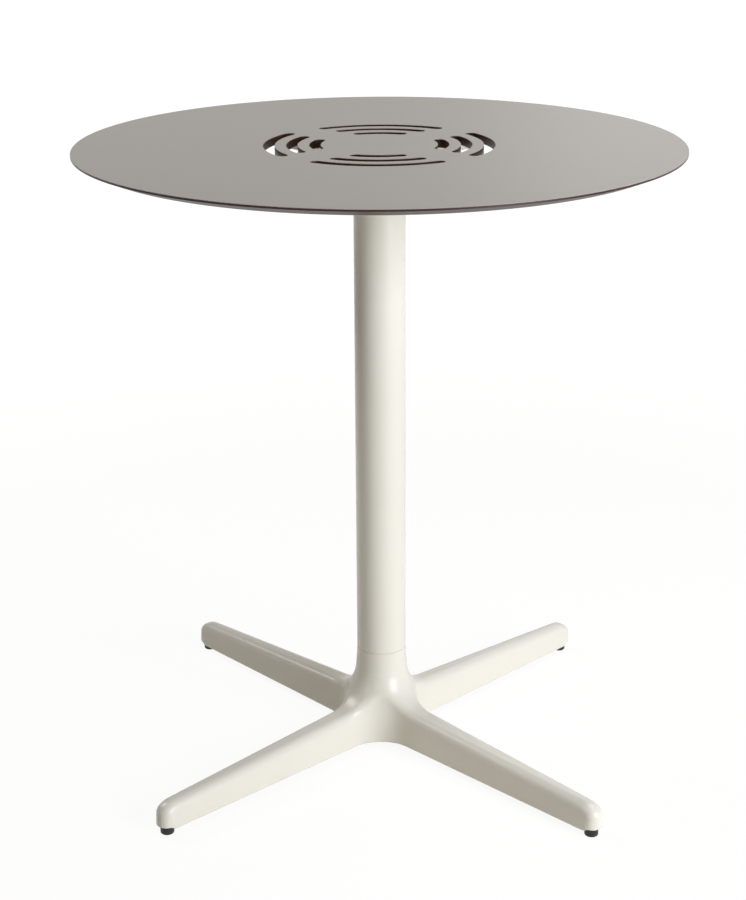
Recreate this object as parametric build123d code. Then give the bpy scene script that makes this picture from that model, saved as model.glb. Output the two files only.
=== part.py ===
"""Round garden table: a slotted laminate top on a tube column and a four-legged cast base.

Millimetres, +Z up. The origin is on the floor, under the middle of the top.
The legs lie on the diagonals, and the groups of slots on the X and Y axes.
"""
import math
import os

from build123d import *

# Overall
table_height = 744.0
top_diameter = 690.0
arms = 4
first_arm_angle = 45.0

# Fits between pieces
slip_clearance = 0.2
thread_clearance = 0.05
insert_clearance = 0.05

# Table top: compact laminate, bevelled from below to a thin rim
top_thickness = 10.0
rim_height = 2.5
bevel_width = 18.5
rim_ease = 0.4

# Slots in the top: arcs in rows, cut short where the arms of the head cross
slot_width = 13.0
slot_rows = 3
slot_first_radius = 72.5
slot_pitch = 26.0
slot_end_offset = 30.6
slot_end_step = 1.7

# Column
column_diameter = 60.0
column_wall = 2.5
joint_height = 122.0
joint_chamfer = 0.6

# Base casting
foot_height = 8.0
foot_circle_radius = 341.5
leg_root_half_width = 18.2
leg_tip_radius = 12.6
leg_top_at_axis = 55.4
leg_top_at_foot = 40.0
leg_draft = 2.5
leg_crown_half_flat = 1.0
leg_foot_round = 2.0
seat_rise = 3.4
seat_sweep = 5.0
nose_round = 27.0
nose_land = 0.4
nose_overhang = 4.5
web_round = 45.0
crest_round = 48.0
neck_draft = 3.5
casting_wall = 5.0
rib_thickness = 4.0
rib_recess = 5.0
rib_radii = (125.0, 190.0, 255.0)
foot_boss_radius = 14.0
hub_boss_radius = 26.0
hub_floor_height = 30.0
hub_floor_thickness = 15.0

# Spigots of the base and the head, inside the column
spigot_length = 40.0
spigot_wall = 5.0
spigot_chamfer = 1.5

# Head casting under the top
head_depth = 26.0
head_plate_thickness = 6.0
head_screw_circle_radius = 145.0
head_arm_root_half_width = 16.0
head_arm_tip_radius = 13.0
head_web_round = 25.0
head_arm_depth = 11.0
head_wall = 4.0
head_rib_thickness = 6.0
head_floor_thickness = 12.0

# Tie rod with its nuts and washers
rod_diameter = 12.0
rod_hole_clearance = 0.5
rod_end_margin = 1.0
nut_flats = 18.0
nut_thickness = 10.0
rod_washer_diameter = 30.0
rod_washer_thickness = 2.5
rod_pocket_clearance = 1.0

# Screws, washers and inserts that hold the top
screw_diameter = 6.0
screw_length = 13.0
screw_head_diameter = 11.0
screw_head_height = 4.0
screw_head_edge = 1.3
screw_crown_diameter = 6.6
screw_socket_flats = 4.0
screw_socket_depth = 2.5
screw_hole_clearance = 0.3
screw_washer_diameter = 14.0
screw_washer_thickness = 1.5
insert_diameter = 9.0
insert_length = 7.0

# Levelling feet
foot_stud_diameter = 8.0
foot_stud_length = 20.0
foot_stud_seat = 4.5
foot_glide_diameter = 16.0
foot_glide_ease = 1.2
foot_bore_spare = 2.0
foot_recess_clearance = 0.4

# Levels that the pieces share
top_underside = table_height - top_thickness
head_underside = top_underside - head_depth
column_radius = column_diameter / 2
foot_seat_height = foot_height + seat_rise
column_inner_radius = column_radius - column_wall
spigot_radius = column_inner_radius - slip_clearance
spigot_bore_radius = spigot_radius - spigot_wall
rod_radius = rod_diameter / 2
rod_hole_radius = rod_radius + rod_hole_clearance
hub_pocket_height = hub_floor_height + hub_floor_thickness
head_pocket_floor = head_underside + head_floor_thickness
half_gap = 180 / arms
arm_angles = [first_arm_angle + 2 * half_gap * number for number in range(arms)]


def cylinder(radius, bottom, top):
    """Upright cylinder on the Z axis."""
    return Pos(0, 0, bottom) * extrude(Circle(radius), amount=top - bottom)


def ring(outer_radius, inner_radius, bottom, top):
    """Upright ring on the Z axis."""
    return Pos(0, 0, bottom) * extrude(Circle(outer_radius) - Circle(inner_radius), amount=top - bottom)


def turned(points):
    """Solid turned about Z from the corners of its half outline, given as radius and height."""
    return revolve(Plane.XZ * make_face(Polyline(*points, close=True)), Axis.Z)


def at_arm(radius, angle):
    """Place on the arm that points along the angle, at a radius from the axis."""
    return Rot(0, 0, angle) * Pos(radius, 0, 0)


def star(root_half_width, tip_circle_radius, tip_radius, inner_round):
    """Plan of a cross of tapered arms with round tips and rounded inner corners."""
    taper = math.asin((root_half_width - tip_radius) / tip_circle_radius)
    along = tip_circle_radius + tip_radius * math.sin(taper)
    across = tip_radius * math.cos(taper)
    arm = make_face(Polyline(
        (0, -root_half_width), (along, -across), (along, across), (0, root_half_width), close=True))
    arm += Pos(tip_circle_radius, 0) * Rot(0, 0, 180) * Circle(tip_radius)
    plan = Sketch() + [Rot(0, 0, angle) * arm for angle in arm_angles]
    corner_reach = root_half_width * 2
    corners = [v for v in plan.vertices() if math.hypot(v.X, v.Y) < corner_reach]
    return fillet(corners, inner_round)


def table_top():
    rim_radius = top_diameter / 2
    disc = turned([
        (0, table_height),
        (rim_radius - rim_ease, table_height),
        (rim_radius, table_height - rim_ease),
        (rim_radius, table_height - rim_height),
        (rim_radius - bevel_width, top_underside),
        (0, top_underside),
    ])
    slots = []
    for row in range(slot_rows):
        radius = slot_first_radius + slot_pitch * row
        end_offset = slot_end_offset - slot_end_step * row
        half_angle = half_gap - math.degrees(math.asin(end_offset / radius))
        for angle in arm_angles:
            middle = angle + half_gap
            arc = CenterArc((0, 0), radius, middle - half_angle, 2 * half_angle)
            slots.append(SlotArc(arc, slot_width))
    disc -= Pos(0, 0, top_underside) * extrude(Sketch() + slots, amount=top_thickness)
    hole = cylinder(insert_diameter / 2, top_underside, top_underside + insert_length)
    return disc - [at_arm(head_screw_circle_radius, angle) * hole for angle in arm_angles]


def top_insert():
    """Threaded brass sleeve, pressed into the underside of the top."""
    return ring(insert_diameter / 2 - insert_clearance, screw_diameter / 2 + thread_clearance,
                top_underside, top_underside + insert_length)


def top_screw():
    """Button-head screw with a hexagon socket, put in from below."""
    seat = top_underside - head_plate_thickness - screw_washer_thickness
    head_radius = screw_head_diameter / 2
    crown_radius = screw_crown_diameter / 2
    shank_radius = screw_diameter / 2
    screw = turned([
        (0, seat + screw_length),
        (shank_radius, seat + screw_length),
        (shank_radius, seat),
        (head_radius, seat),
        (head_radius, seat - screw_head_edge),
        (crown_radius, seat - screw_head_height),
        (0, seat - screw_head_height),
    ])
    socket = extrude(RegularPolygon(screw_socket_flats / 2, 6, major_radius=False), amount=screw_socket_depth)
    return screw - Pos(0, 0, seat - screw_head_height) * socket


def top_washer():
    seat = top_underside - head_plate_thickness
    return ring(screw_washer_diameter / 2, screw_diameter / 2 + screw_hole_clearance,
                seat - screw_washer_thickness, seat)


def head_plan(inset):
    """Plan of the head's arms, set in from the outside by an inset."""
    return star(head_arm_root_half_width - inset, head_screw_circle_radius, head_arm_tip_radius - inset,
                head_web_round + inset)


def top_head():
    """Cast head: four ribbed arms, hollow below, and a spigot that plugs the column."""
    plate_underside = top_underside - head_plate_thickness
    arm_underside = top_underside - head_arm_depth
    body = Pos(0, 0, arm_underside) * extrude(head_plan(0), amount=head_arm_depth)
    body -= Pos(0, 0, arm_underside) * extrude(head_plan(head_wall), amount=plate_underside - arm_underside)
    body += cylinder(column_radius, head_underside, top_underside)
    rib_end = head_screw_circle_radius - screw_washer_diameter / 2 - slip_clearance
    rib_side = make_face(Polyline(
        (0, plate_underside), (rib_end, plate_underside), (rib_end, arm_underside),
        (column_radius, head_underside), (0, head_underside), close=True))
    rib = extrude(Plane.XZ * rib_side, amount=head_rib_thickness / 2, both=True)
    body += [Rot(0, 0, angle) * rib for angle in arm_angles]
    spigot_end = head_underside - spigot_length
    body += turned([
        (0, head_underside),
        (spigot_radius, head_underside),
        (spigot_radius, spigot_end + spigot_chamfer),
        (spigot_radius - spigot_chamfer, spigot_end),
        (0, spigot_end),
    ])
    body -= cylinder(spigot_bore_radius, spigot_end, head_underside)
    body -= cylinder(rod_hole_radius, head_underside, top_underside)
    body -= cylinder(rod_washer_diameter / 2 + rod_pocket_clearance, head_pocket_floor, top_underside)
    hole = cylinder(screw_diameter / 2 + screw_hole_clearance, plate_underside, top_underside)
    return body - [at_arm(head_screw_circle_radius, angle) * hole for angle in arm_angles]


def column_tube():
    return turned([
        (column_inner_radius, joint_height),
        (column_radius - joint_chamfer, joint_height),
        (column_radius, joint_height + joint_chamfer),
        (column_radius, head_underside),
        (column_inner_radius, head_underside),
    ])


def crest(inset):
    """Solid under the curved top of the legs and the neck, set in from the outside by an inset.

    Its underside sweeps up at the feet, to the level of their seats.
    """
    slope = (leg_top_at_axis - leg_top_at_foot) / foot_circle_radius
    neck_lean = math.tan(math.radians(neck_draft))
    top_at_axis = leg_top_at_axis - inset
    neck_top_radius = column_radius - inset
    neck_height = joint_height - top_at_axis
    neck_foot_radius = (neck_top_radius + neck_height * neck_lean) / (1 - slope * neck_lean)
    neck_foot = top_at_axis - slope * neck_foot_radius
    nose = foot_circle_radius + leg_tip_radius + nose_overhang - inset
    nose_top = top_at_axis - slope * nose
    sweep_start = (foot_circle_radius - seat_sweep, foot_height)
    sweep_middle = (foot_circle_radius, (foot_height + foot_seat_height) / 2)
    sweep_end = (foot_circle_radius + seat_sweep, foot_seat_height)
    outside = Polyline(
        sweep_end, (nose, foot_seat_height), (nose, nose_top), (neck_foot_radius, neck_foot),
        (neck_top_radius, joint_height), (0, joint_height), (0, foot_height), sweep_start)
    sweep = [TangentArc(sweep_start, sweep_middle, tangent=(1, 0)),
             TangentArc(sweep_end, sweep_middle, tangent=(-1, 0))]
    outline = make_face(outside.edges() + sweep)
    neck_corner = outline.vertices().sort_by_distance((neck_foot_radius, neck_foot))[0]
    neck_room = joint_height - leg_top_at_axis
    outline = fillet(neck_corner, min(crest_round, neck_room) + inset)
    nose_corner = outline.vertices().sort_by_distance((nose, nose_top))[0]
    nose_room = nose_top + inset - foot_seat_height - nose_land
    outline = fillet(nose_corner, min(nose_round, nose_room) - inset)
    web_to_seam = half_gap / arms
    return Rot(0, 0, web_to_seam) * revolve(Plane.XZ * outline, Axis.Z)


def wall_lean(height):
    """How far the drafted walls of the legs have leaned in at a height."""
    return (height - foot_height) * math.tan(math.radians(leg_draft))


def leg_walls(inset, tip_circle_radius, top):
    """Drafted walls of the legs from their underside to a level, set in by an inset."""
    taper = (leg_root_half_width - leg_tip_radius) / foot_circle_radius
    lean = wall_lean(top)

    def plan(shrink):
        root = leg_root_half_width - shrink
        return star(root, tip_circle_radius, root - taper * tip_circle_radius, web_round + shrink)

    return loft([Pos(0, 0, foot_height) * plan(inset), Pos(0, 0, top) * plan(inset + lean)], ruled=True)


def under_edges(body):
    """Edges of the base up to the level of the feet's seats."""
    level = foot_seat_height + nose_land
    return body.edges().filter_by(lambda edge: edge.bounding_box().max.Z < level)


def base_star():
    """Cast base: four hollow legs that flow into a neck, with a spigot for the column."""
    body = leg_walls(0, foot_circle_radius, joint_height) & crest(0)
    top_edges = [
        edge for edge in body.edges() - under_edges(body)
        if edge.geom_type not in (GeomType.CIRCLE, GeomType.LINE)
    ]
    body = fillet(top_edges, leg_tip_radius - wall_lean(leg_top_at_foot) - leg_crown_half_flat)
    outer_edges = [
        edge for edge in under_edges(body)
        if edge.geom_type != GeomType.CIRCLE or edge.radius < foot_circle_radius - seat_sweep
    ]
    body = fillet(outer_edges, leg_foot_round)

    hollow_tip_radius = foot_circle_radius - foot_boss_radius - leg_tip_radius
    hollow = leg_walls(casting_wall, hollow_tip_radius, leg_top_at_axis) & crest(casting_wall)
    rib = Pos(0, 0, foot_height + rib_recess) * Box(
        rib_thickness, 2 * leg_root_half_width, joint_height,
        align=(Align.CENTER, Align.CENTER, Align.MIN))
    for angle in arm_angles:
        for radius in rib_radii:
            hollow -= at_arm(radius, angle) * rib
    hollow -= cylinder(hub_boss_radius, hub_floor_height, joint_height)
    body -= hollow

    spigot_end = joint_height + spigot_length
    body += turned([
        (0, hub_pocket_height),
        (spigot_radius, hub_pocket_height),
        (spigot_radius, spigot_end - spigot_chamfer),
        (spigot_radius - spigot_chamfer, spigot_end),
        (0, spigot_end),
    ])
    body -= cylinder(spigot_bore_radius, hub_pocket_height, spigot_end)
    body -= cylinder(rod_hole_radius, foot_height, hub_pocket_height)
    bore = cylinder(foot_stud_diameter / 2 + thread_clearance, foot_height,
                    foot_seat_height + foot_stud_length + foot_bore_spare)
    recess = cylinder(foot_glide_diameter / 2 + foot_recess_clearance, foot_height, foot_seat_height)
    return body - [at_arm(foot_circle_radius, angle) * (bore + recess) for angle in arm_angles]


def tie_rod():
    """Threaded rod that pulls the head down and the base up against the column."""
    top = head_pocket_floor + rod_washer_thickness + nut_thickness + rod_end_margin
    bottom = hub_floor_height - rod_washer_thickness - nut_thickness - rod_end_margin
    return cylinder(rod_radius, bottom, top)


def rod_washer(bottom):
    return ring(rod_washer_diameter / 2, rod_hole_radius, bottom, bottom + rod_washer_thickness)


def rod_nut(bottom):
    """Hexagon nut with its corners turned off at both faces."""
    corner_radius = nut_flats / math.sqrt(3)
    flat_radius = nut_flats / 2
    corner_drop = (corner_radius - flat_radius) * math.tan(math.radians(30))
    hexagon = extrude(RegularPolygon(flat_radius, 6, major_radius=False), amount=nut_thickness)
    blank = turned([
        (0, 0),
        (flat_radius, 0),
        (corner_radius, corner_drop),
        (corner_radius, nut_thickness - corner_drop),
        (flat_radius, nut_thickness),
        (0, nut_thickness),
    ])
    nut = (hexagon & blank) - cylinder(rod_radius + thread_clearance, 0, nut_thickness)
    return Pos(0, 0, bottom) * nut


def foot_stud():
    """Threaded stud of a levelling foot, held in the boss at the tip of a leg."""
    return cylinder(foot_stud_diameter / 2, foot_seat_height - foot_stud_seat,
                    foot_seat_height + foot_stud_length)


def foot_glide():
    """Plastic glide on the lower end of the stud, seated in a recess under the tip of the leg."""
    radius = foot_glide_diameter / 2
    glide = turned([
        (0, 0),
        (radius - foot_glide_ease, 0),
        (radius, foot_glide_ease),
        (radius, foot_seat_height),
        (0, foot_seat_height),
    ])
    socket = cylinder(foot_stud_diameter / 2 + thread_clearance, foot_seat_height - foot_stud_seat,
                      foot_seat_height)
    return glide - socket


os.makedirs("parts", exist_ok=True)
pieces = {
    "table_top": table_top(),
    "top_head": top_head(),
    "column_tube": column_tube(),
    "base_star": base_star(),
    "tie_rod": tie_rod(),
    "rod_washer_top": rod_washer(head_pocket_floor),
    "rod_nut_top": rod_nut(head_pocket_floor + rod_washer_thickness),
    "rod_washer_base": rod_washer(hub_floor_height - rod_washer_thickness),
    "rod_nut_base": rod_nut(hub_floor_height - rod_washer_thickness - nut_thickness),
}
for number, angle in enumerate(arm_angles, start=1):
    at_screw = at_arm(head_screw_circle_radius, angle)
    at_foot = at_arm(foot_circle_radius, angle)
    pieces[f"top_insert_{number}"] = at_screw * top_insert()
    pieces[f"top_screw_{number}"] = at_screw * top_screw()
    pieces[f"top_washer_{number}"] = at_screw * top_washer()
    pieces[f"foot_stud_{number}"] = at_foot * foot_stud()
    pieces[f"foot_glide_{number}"] = at_foot * foot_glide()
for name, piece in pieces.items():
    export_step(piece, f"parts/{name}.step")
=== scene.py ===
import math

import bmesh
import bpy
from mathutils import Matrix, Vector


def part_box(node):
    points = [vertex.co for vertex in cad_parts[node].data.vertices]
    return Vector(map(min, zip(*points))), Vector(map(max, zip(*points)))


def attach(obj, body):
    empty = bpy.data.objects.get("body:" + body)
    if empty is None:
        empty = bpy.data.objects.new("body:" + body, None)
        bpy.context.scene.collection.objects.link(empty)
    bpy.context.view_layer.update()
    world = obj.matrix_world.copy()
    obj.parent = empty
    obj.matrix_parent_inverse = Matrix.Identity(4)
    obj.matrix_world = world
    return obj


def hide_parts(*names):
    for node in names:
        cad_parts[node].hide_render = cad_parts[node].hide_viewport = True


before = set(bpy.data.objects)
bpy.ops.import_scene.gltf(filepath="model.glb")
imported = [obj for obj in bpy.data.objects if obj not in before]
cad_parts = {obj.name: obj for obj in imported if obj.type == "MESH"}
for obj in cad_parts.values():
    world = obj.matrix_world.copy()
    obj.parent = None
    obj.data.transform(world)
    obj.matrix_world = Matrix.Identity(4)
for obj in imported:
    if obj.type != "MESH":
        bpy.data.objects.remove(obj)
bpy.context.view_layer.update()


# Glides
# Under each leg's tip a small black glide carries the table, moulded in hard plastic round the end
# of a stud. Its lower edge is rounded so that it slides over paving without catching.
glide_steps = 64
glide_chamfer = 0.0012
glide_ease = 0.0007
glide_black = (0.011, 0.011, 0.012, 1)
glide_grey = (0.020, 0.020, 0.021, 1)
glide_grain_scale = 1400
glide_roughness = 0.38
arm_numbers = (1, 2, 3, 4)
join_distance = 1e-6
ease_angle = math.radians(20)
sharp_angle = math.radians(35)


class Socket:
    """Output of a shader node: sums on it add Math nodes, and node() adds any other."""

    def __init__(self, tree, output=None):
        self.tree = tree
        self.output = output

    def node(self, kind, settings, values, result=0):
        """Adds a node, with its settings first and then the values or links of its sockets."""
        made = self.tree.nodes.new("ShaderNode" + kind)
        for name, value in settings.items():
            setattr(made, name, value)
        for name, value in values.items():
            if isinstance(value, Socket):
                self.tree.links.new(value.output, made.inputs[name])
            else:
                made.inputs[name].default_value = value
        return Socket(self.tree, made.outputs[result] if made.outputs else None)

    def sum(self, operation, first, second):
        """Adds a Math node on two values or sockets."""
        return self.node("Math", {"operation": operation}, {0: first, 1: second})

    def __add__(self, other):
        return self.sum("ADD", self, other)

    def __rsub__(self, other):
        return self.sum("SUBTRACT", other, self)

    def __mul__(self, other):
        return self.sum("MULTIPLY", self, other)

    def __gt__(self, other):
        return self.sum("GREATER_THAN", self, other)

    def __lt__(self, other):
        return self.sum("LESS_THAN", self, other)

    def noise(self, scale, detail=2.0):
        """Noise from 0 to 1 on a position, with its grains about 1 / scale metres wide."""
        return self.node("TexNoise", {}, {"Vector": self, "Scale": scale, "Detail": detail})

    def between(self, first, second):
        """Colour from first to second, with this as the share of the second."""
        return self.node("Mix", {"data_type": "RGBA"}, {0: self, 6: first, 7: second}, result=2)

    def bump(self, strength, depth):
        """Normal of a surface whose height is this, from 0 to 1, times a depth in metres."""
        return self.node("Bump", {}, {"Height": self, "Strength": strength, "Distance": depth})

    def seen_rays(self):
        """1 for rays that show a thing as it is: straight from the camera, mirrored or through glass."""
        kinds = [self.node("LightPath", {}, {}, result=f"Is {kind} Ray")
                 for kind in ("Camera", "Glossy", "Transmission")]
        return kinds[0] + kinds[1] + kinds[2] > 0.5

    def surface(self, **values):
        """Principled surface of the material; an underscore in a name stands for a space."""
        values = {name.replace("_", " "): value for name, value in values.items()}
        shader = self.node("BsdfPrincipled", {}, values)
        self.node("OutputMaterial", {}, {"Surface": shader})


def new_material(name):
    """Empty material, and the Object position in it."""
    made = bpy.data.materials.new(name)
    made.use_nodes = True
    made.node_tree.nodes.clear()
    return made, Socket(made.node_tree).node("TexCoord", {}, {}, result="Object")


def turned(outline, steps, ease=0.0, closed=False):
    """Mesh turned about Z from its outline, as radius and height, with its sharp rings eased."""
    mesh = bmesh.new()
    points = [mesh.verts.new((radius, 0, height)) for radius, height in outline]
    pairs = list(zip(points, points[1:]))
    if closed:
        pairs.append((points[-1], points[0]))
    edges = [mesh.edges.new(pair) for pair in pairs]
    bmesh.ops.spin(mesh, geom=points + edges, cent=(0, 0, 0), axis=(0, 0, 1), angle=math.tau,
                   steps=steps, use_merge=True)
    bmesh.ops.remove_doubles(mesh, verts=mesh.verts, dist=join_distance)
    bmesh.ops.recalc_face_normals(mesh, faces=mesh.faces)
    if ease:
        eased(mesh, ease)
    return mesh


def eased(mesh, ease):
    """Rounds the edges of a mesh where its faces meet at more than the ease angle."""
    sharp = [edge for edge in mesh.edges if edge.calc_face_angle(0) > ease_angle]
    bmesh.ops.bevel(mesh, geom=sharp, offset=ease, offset_type="OFFSET", segments=3, profile=0.5,
                    affect="EDGES", material=-1, clamp_overlap=True)


def add_piece(name, mesh, material, body, slot, *nodes):
    """Object of a finished mesh, riding on its body in place of its nodes."""
    data = bpy.data.meshes.new(name)
    mesh.to_mesh(data)
    mesh.free()
    data.materials.append(material)
    data.shade_smooth()
    data.set_sharp_from_angle(angle=sharp_angle)
    made = bpy.data.objects.new(name, data)
    bpy.context.scene.collection.objects.link(made)
    made.modifiers.new("face_normals", "WEIGHTED_NORMAL").keep_sharp = True
    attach(made, body)
    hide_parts(*nodes)


def middle_of(node):
    """Middle of a CAD node's box."""
    low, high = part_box(node)
    return (low + high) / 2


plastic, place = new_material("glide_plastic")
grain = place.noise(glide_grain_scale)
plastic_colour = grain.between(glide_black, glide_grey)
place.surface(Base_Color=plastic_colour, Roughness=grain * 0.15 + glide_roughness,
              Normal=grain.bump(0.2, 0.0001), IOR=1.42)

for number in arm_numbers:
    node = f"foot_glide_{number}"
    low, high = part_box(node)
    radius = (high.x - low.x) / 2
    shape = turned([
        (0, low.z),
        (radius - glide_chamfer, low.z),
        (radius, low.z + glide_chamfer),
        (radius, high.z),
        (0, high.z),
    ], glide_steps, glide_ease)
    bmesh.ops.translate(shape, verts=shape.verts, vec=(middle_of(node).x, middle_of(node).y, 0))
    add_piece(f"glide_{number}", shape, plastic, f"foot_{number}", "glide_plastic", node)


# Studs of the feet
# Each glide sits on a zinc-plated M8 stud with a rolled thread, which screws into the boss of a leg.
# At rest the leg hides it; a few turns show when the foot is screwed out.
stud_pitch = 0.00125
thread_depth = 0.61
thread_steps = 24
zinc_grey = (0.52, 0.53, 0.55, 1)
zinc_pale = (0.66, 0.67, 0.68, 1)
zinc_cloud_scale = 160
zinc_roughness = 0.25


def threaded(radius, pitch, bottom, top):
    """Mesh of a right-handed thread on Z, cut square at both ends and drawn in there."""
    root = radius - thread_depth * pitch
    turns = math.ceil((top - bottom) / pitch) + 2
    start = bottom - pitch
    mesh = bmesh.new()
    outline = [(root, 0), (radius, 5 / 16), (radius, 7 / 16), (root, 3 / 4), (root, 1)]
    points = [mesh.verts.new((away, 0, start + share * pitch)) for away, share in outline]
    edges = [mesh.edges.new(pair) for pair in zip(points, points[1:])]
    bmesh.ops.spin(mesh, geom=points + edges, cent=(0, 0, 0), axis=(0, 0, 1), angle=math.tau * turns,
                   steps=thread_steps * turns, dvec=(0, 0, pitch / thread_steps))
    bmesh.ops.remove_doubles(mesh, verts=mesh.verts, dist=join_distance)
    for level, side in ((bottom, -1), (top, 1)):
        cut = bmesh.ops.bisect_plane(mesh, geom=mesh.verts[:] + mesh.edges[:] + mesh.faces[:],
                                     plane_co=(0, 0, level), plane_no=(0, 0, side), clear_outer=True)
        rim = [item for item in cut["geom_cut"] if isinstance(item, bmesh.types.BMEdge)]
        bmesh.ops.edgeloop_fill(mesh, edges=rim)
    bmesh.ops.recalc_face_normals(mesh, faces=mesh.faces)
    for vertex in mesh.verts:
        room = root + min(vertex.co.z - bottom, top - vertex.co.z)
        away = vertex.co.xy.length
        if away > room:
            vertex.co.xy *= room / away
    return mesh


zinc, place = new_material("zinc_plate")
cloud = place.noise(zinc_cloud_scale)
zinc_colour = cloud.between(zinc_grey, zinc_pale)
place.surface(Base_Color=zinc_colour, Metallic=1.0, Roughness=cloud * 0.2 + zinc_roughness)

for number in arm_numbers:
    node = f"foot_stud_{number}"
    low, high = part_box(node)
    shape = threaded((high.x - low.x) / 2, stud_pitch, low.z, high.z)
    bmesh.ops.translate(shape, verts=shape.verts, vec=(middle_of(node).x, middle_of(node).y, 0))
    add_piece(f"stud_thread_{number}", shape, zinc, f"stud_{number}", "zinc_steel", node)


# Base
# One casting: tapered legs with rounded crests that flow into a neck, drafted so that it leaves
# the mould. It is powder-coated cream inside and out, a satin coat with a faint orange-peel skin.
cream = (0.80, 0.764, 0.668, 1)
cream_pale = (0.83, 0.797, 0.71, 1)
peel_scale = 420
peel_depth = 0.00006
drift_scale = 9
coat_roughness = 0.23

paint, place = new_material("cream_powder_coat")
peel = place.noise(peel_scale, 3.0)
drift = place.noise(drift_scale)
paint_colour = drift.between(cream, cream_pale)
place.surface(Base_Color=paint_colour, Roughness=drift * 0.06 + coat_roughness,
              Normal=peel.bump(0.25, peel_depth), IOR=1.4)


def painted(node, material):
    """Puts a finish on a CAD node that keeps its own shape."""
    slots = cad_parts[node].data.materials
    slots.clear()
    slots.append(material)


painted("base_star", paint)


# Tie rod with its nuts and washers
# A zinc-plated M12 rod, threaded at both ends, runs up the column. A nut and washer in the hub
# and another in the head pull the base and the head hard against the ends of the tube.
rod_pitch = 0.00175
rod_thread_length = 0.035
rod_steps = 48
low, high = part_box("tie_rod")
rod_radius = (high.x - low.x) / 2
shank_radius = rod_radius - rod_pitch / 3
shank_length = high.z - low.z - 2 * rod_thread_length
shape = threaded(rod_radius, rod_pitch, low.z, low.z + rod_thread_length)
upper = bmesh.ops.duplicate(shape, geom=shape.verts[:] + shape.edges[:] + shape.faces[:])["geom"]
bmesh.ops.translate(shape, verts=[item for item in upper if isinstance(item, bmesh.types.BMVert)],
                    vec=(0, 0, shank_length + rod_thread_length))
bmesh.ops.create_cone(shape, cap_ends=True, segments=rod_steps, radius1=shank_radius,
                      radius2=shank_radius, depth=shank_length,
                      matrix=Matrix.Translation(middle_of("tie_rod")))
add_piece("rod_with_threads", shape, zinc, "table", "zinc_steel", "tie_rod")
for node in ("rod_washer_top", "rod_nut_top", "rod_washer_base", "rod_nut_base"):
    painted(node, zinc)


# Column
# A plain round steel tube, powder-coated like the base. It stands on the casting's shoulder,
# where its broken lower edge leaves a fine dark line.
column_steps = 128
column_wall = 0.0025
column_chamfer = 0.0008
column_ease = 0.0002
low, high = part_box("column_tube")
column_radius = (high.x - low.x) / 2
shape = turned([
    (column_radius - column_chamfer, low.z),
    (column_radius, low.z + column_chamfer),
    (column_radius, high.z),
    (column_radius - column_wall, high.z),
    (column_radius - column_wall, low.z),
], column_steps, column_ease, closed=True)
add_piece("column", shape, paint, "table", "tube_paint", "column_tube")


# Head
# A cast cross under the top, with ribbed arms that are hollow below. It plugs the upper end of
# the column and has the same cream coat.
painted("top_head", paint)


# Screws, washers and inserts
# A stainless button-head screw with a washer goes up through the tip of each arm of the head
# into a turned brass insert in the top.
stainless_grey = (0.55, 0.55, 0.54, 1)
stainless_pale = (0.66, 0.66, 0.65, 1)
brass_dark = (0.58, 0.40, 0.15, 1)
brass_pale = (0.70, 0.52, 0.24, 1)
turning_scale = 700
stainless_roughness = 0.2
brass_roughness = 0.22

stainless, place = new_material("stainless_steel")
turning = place.noise(turning_scale)
stainless_colour = turning.between(stainless_grey, stainless_pale)
place.surface(Base_Color=stainless_colour, Metallic=1.0, Roughness=turning * 0.15 + stainless_roughness)

brass, place = new_material("insert_brass")
turning = place.noise(turning_scale)
brass_colour = turning.between(brass_dark, brass_pale)
place.surface(Base_Color=brass_colour, Metallic=1.0, Roughness=turning * 0.15 + brass_roughness)

for number in arm_numbers:
    painted(f"top_insert_{number}", brass)
    painted(f"top_screw_{number}", stainless)
    painted(f"top_washer_{number}", stainless)


# Table top
# A disc of compact laminate: many sheets of brown resin paper pressed hard under thin grey faces.
# It is machined, so the dark core shows at the rim, on the wide bevel below and in the slots.
rim_height = 0.0025
bevel_width = 0.0185
face_depth = 0.0005
top_ease = 0.0004
rim_steps = 288
slot_width = 0.013
slot_rows = 3
slot_first_radius = 0.0725
slot_pitch = 0.026
slot_end_offset = 0.0306
slot_end_step = 0.0017
slot_arc_steps = 40
slot_end_steps = 12
face_grey = (0.340, 0.307, 0.270, 1)
face_light = (0.372, 0.338, 0.300, 1)
core_brown = (0.026, 0.010, 0.007, 1)
core_light = (0.040, 0.018, 0.013, 1)
speck_scale = 950
speck_depth = 0.00004
cloud_scale = 5
fibre_scale = 300
face_roughness = 0.42
level_slack = 1e-5

low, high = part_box("table_top")
top_radius = max(high.x, high.y)
groups = 4
half_sector = math.pi / groups


def polar(radius, angle, height):
    """Point at a radius and an angle about Z, at a height."""
    return Vector((radius * math.cos(angle), radius * math.sin(angle), height))


def arc_on(mesh, start, centre, angle, steps):
    """Adds an arc of edges from a vertex round a centre and gives its last vertex."""
    swept = bmesh.ops.spin(mesh, geom=[start], cent=centre, axis=(0, 0, 1), angle=angle, steps=steps)
    return next(item for item in swept["geom_last"] if isinstance(item, bmesh.types.BMVert))


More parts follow.
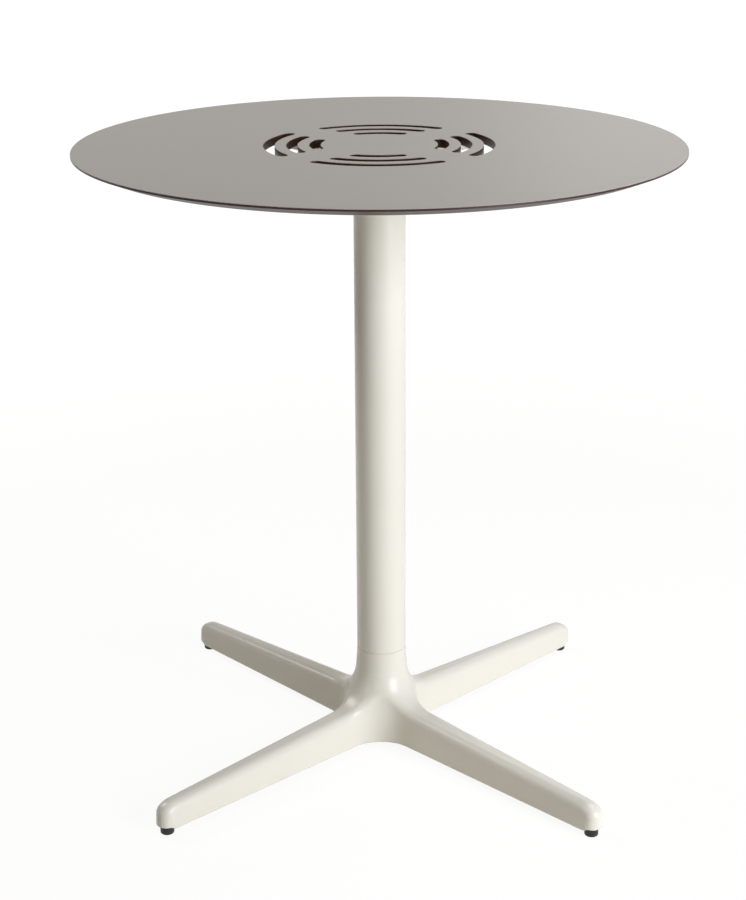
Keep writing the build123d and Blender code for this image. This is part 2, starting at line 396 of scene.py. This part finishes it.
shape = turned([
    (top_radius - bevel_width, high.z),
    (top_radius, high.z),
    (top_radius, high.z - rim_height),
    (top_radius - bevel_width, low.z),
], rim_steps)
open_rims = [edge for edge in shape.edges if edge.is_boundary]
slot_edges = []
for row in range(slot_rows):
    radius = slot_first_radius + slot_pitch * row
    half_angle = half_sector - math.asin((slot_end_offset - slot_end_step * row) / radius)
    for group in range(groups):
        middle = 2 * half_sector * group
        known = set(shape.edges)
        first = shape.verts.new(polar(radius + slot_width / 2, middle - half_angle, high.z))
        last = arc_on(shape, first, (0, 0, 0), 2 * half_angle, slot_arc_steps)
        last = arc_on(shape, last, polar(radius, middle + half_angle, 0), math.pi, slot_end_steps)
        last = arc_on(shape, last, (0, 0, 0), -2 * half_angle, slot_arc_steps)
        last = arc_on(shape, last, polar(radius, middle - half_angle, 0), math.pi, slot_end_steps)
        bmesh.ops.pointmerge(shape, verts=[first, last], merge_co=first.co)
        slot_edges += [edge for edge in shape.edges if edge not in known]
walls = bmesh.ops.extrude_edge_only(shape, edges=slot_edges)["geom"]
lower_verts = [item for item in walls if isinstance(item, bmesh.types.BMVert)]
lower_edges = [item for item in walls if isinstance(item, bmesh.types.BMEdge) and item.is_boundary]
bmesh.ops.translate(shape, verts=lower_verts, vec=(0, 0, low.z - high.z))
for level, edges in ((high.z, slot_edges), (low.z, lower_edges)):
    rim = [edge for edge in open_rims if abs(edge.verts[0].co.z - level) < level_slack]
    bmesh.ops.triangle_fill(shape, edges=rim + edges, use_beauty=True, normal=(0, 0, 1))
bmesh.ops.recalc_face_normals(shape, faces=shape.faces)
eased(shape, top_ease)

laminate, place = new_material("compact_laminate")
height = place.node("SeparateXYZ", {}, {"Vector": place}, result="Z")
core = (height < high.z - face_depth) * (height > low.z + face_depth)
speck = place.noise(speck_scale, 3.0)
cloud = place.noise(cloud_scale)
face_colour = (speck * 0.7 + cloud * 0.3).between(face_grey, face_light)
fibre = place.noise(fibre_scale, 4.0)
core_colour = fibre.between(core_brown, core_light)
place.surface(
    Base_Color=core.between(face_colour, core_colour),
    Roughness=face_roughness - core * 0.06 + speck * 0.08,
    Normal=speck.bump(0.15, speck_depth),
    IOR=1.33)
add_piece("laminate_top", shape, laminate, "table", "top_laminate", "table_top")


# Studio
# A white floor in a white surround; a matt share of the floor near the table keeps a faint shadow.
# A tall soft box lights the front from the right, and a square one behind on the left draws the
# edges there. Weak ones behind, above and in front lift the tops.
white = (1, 1, 1, 1)
surround_light = 0.01
surround_tint = (1.0, 0.80, 0.55, 1)
floor_half = 14.0
floor_colour = (0.92, 0.885, 0.80, 1)
floor_glow = 1.05
shadow_kept = 0.12
shadow_reach = 1.0
shadow_end = 2.5

world = bpy.data.worlds.new("surround")
world.use_nodes = True
world.node_tree.nodes.clear()
sky = Socket(world.node_tree)
seen = sky.seen_rays()
strength = seen * (1 - surround_light) + surround_light
tint = seen.between(surround_tint, white)
surround = sky.node("Background", {}, {"Color": tint, "Strength": strength})
sky.node("OutputWorld", {}, {"Surface": surround})
bpy.context.scene.world = world

floor_white, place = new_material("floor_white")
seen = place.seen_rays()
matt = place.node("BsdfDiffuse", {}, {"Color": floor_colour})
glow = place.node("Emission", {}, {"Color": white, "Strength": floor_glow})
away = place.node("VectorMath", {"operation": "LENGTH"}, {0: place}, result="Value")
near = place.node("MapRange", {}, {"Value": away, "From Min": shadow_reach, "From Max": shadow_end,
                                   "To Min": 1.0, "To Max": 0.0})
mixed = place.node("MixShader", {}, {0: seen * (1 - near * shadow_kept), 1: matt, 2: glow})
place.node("OutputMaterial", {}, {"Surface": mixed})
sheet = bmesh.new()
bmesh.ops.create_grid(sheet, x_segments=1, y_segments=1, size=floor_half)
floor_data = bpy.data.meshes.new("floor")
sheet.to_mesh(floor_data)
sheet.free()
floor_data.materials.append(floor_white)
floor = bpy.data.objects.new("floor", floor_data)
bpy.context.scene.collection.objects.link(floor)


def add_light(name, place, aim, width, height, watts, colour):
    """Soft area light at a place, turned to an aim."""
    data = bpy.data.lights.new(name, "AREA")
    data.shape = "RECTANGLE"
    data.size = width
    data.size_y = height
    data.energy = watts
    data.color = colour
    made = bpy.data.objects.new(name, data)
    made.location = place
    made.rotation_euler = (Vector(aim) - Vector(place)).to_track_quat("-Z", "Y").to_euler()
    bpy.context.scene.collection.objects.link(made)


daylight = (0.893, 0.928, 1.0)
neutral = (1, 1, 1)
warm = (1.0, 0.88, 0.64)
add_light("tall_box_right", (2.45, -2.25, 1.1), (0, 0, 0.47), 1.6, 2.4, 117, daylight)
add_light("box_behind_left", (-2.02, 0.94, 2.4), (0, 0, 0.5), 1.0, 1.0, 30, neutral)
add_light("box_behind", (0.65, 2.6, 1.65), (0, 0, 0.1), 0.7, 0.7, 3.2, neutral)
add_light("box_above_right", (0.98, 0.17, 2.23), (0, 0, 0.5), 0.8, 0.8, 12.5, daylight)
add_light("front_fill", (0, -2.12, 2.62), (0, 0, 0.5), 1.4, 1.4, 6, warm)

camera_place = (0.0328, -2.0717, 1.1170)
camera_turn = 0.0202
camera_dip = 0.3427
camera_roll = -0.0058
camera_data = bpy.data.cameras.new("camera")
camera_data.lens = 73.66
camera_data.sensor_width = 36
camera = bpy.data.objects.new("camera", camera_data)
camera.matrix_world = (Matrix.Translation(camera_place)
                       @ Matrix.Rotation(camera_turn, 4, "Z")
                       @ Matrix.Rotation(math.pi / 2 - camera_dip, 4, "X")
                       @ Matrix.Rotation(camera_roll, 4, "Z"))
bpy.context.scene.collection.objects.link(camera)
bpy.context.scene.camera = camera
bpy.context.scene.view_settings.view_transform = "Standard"
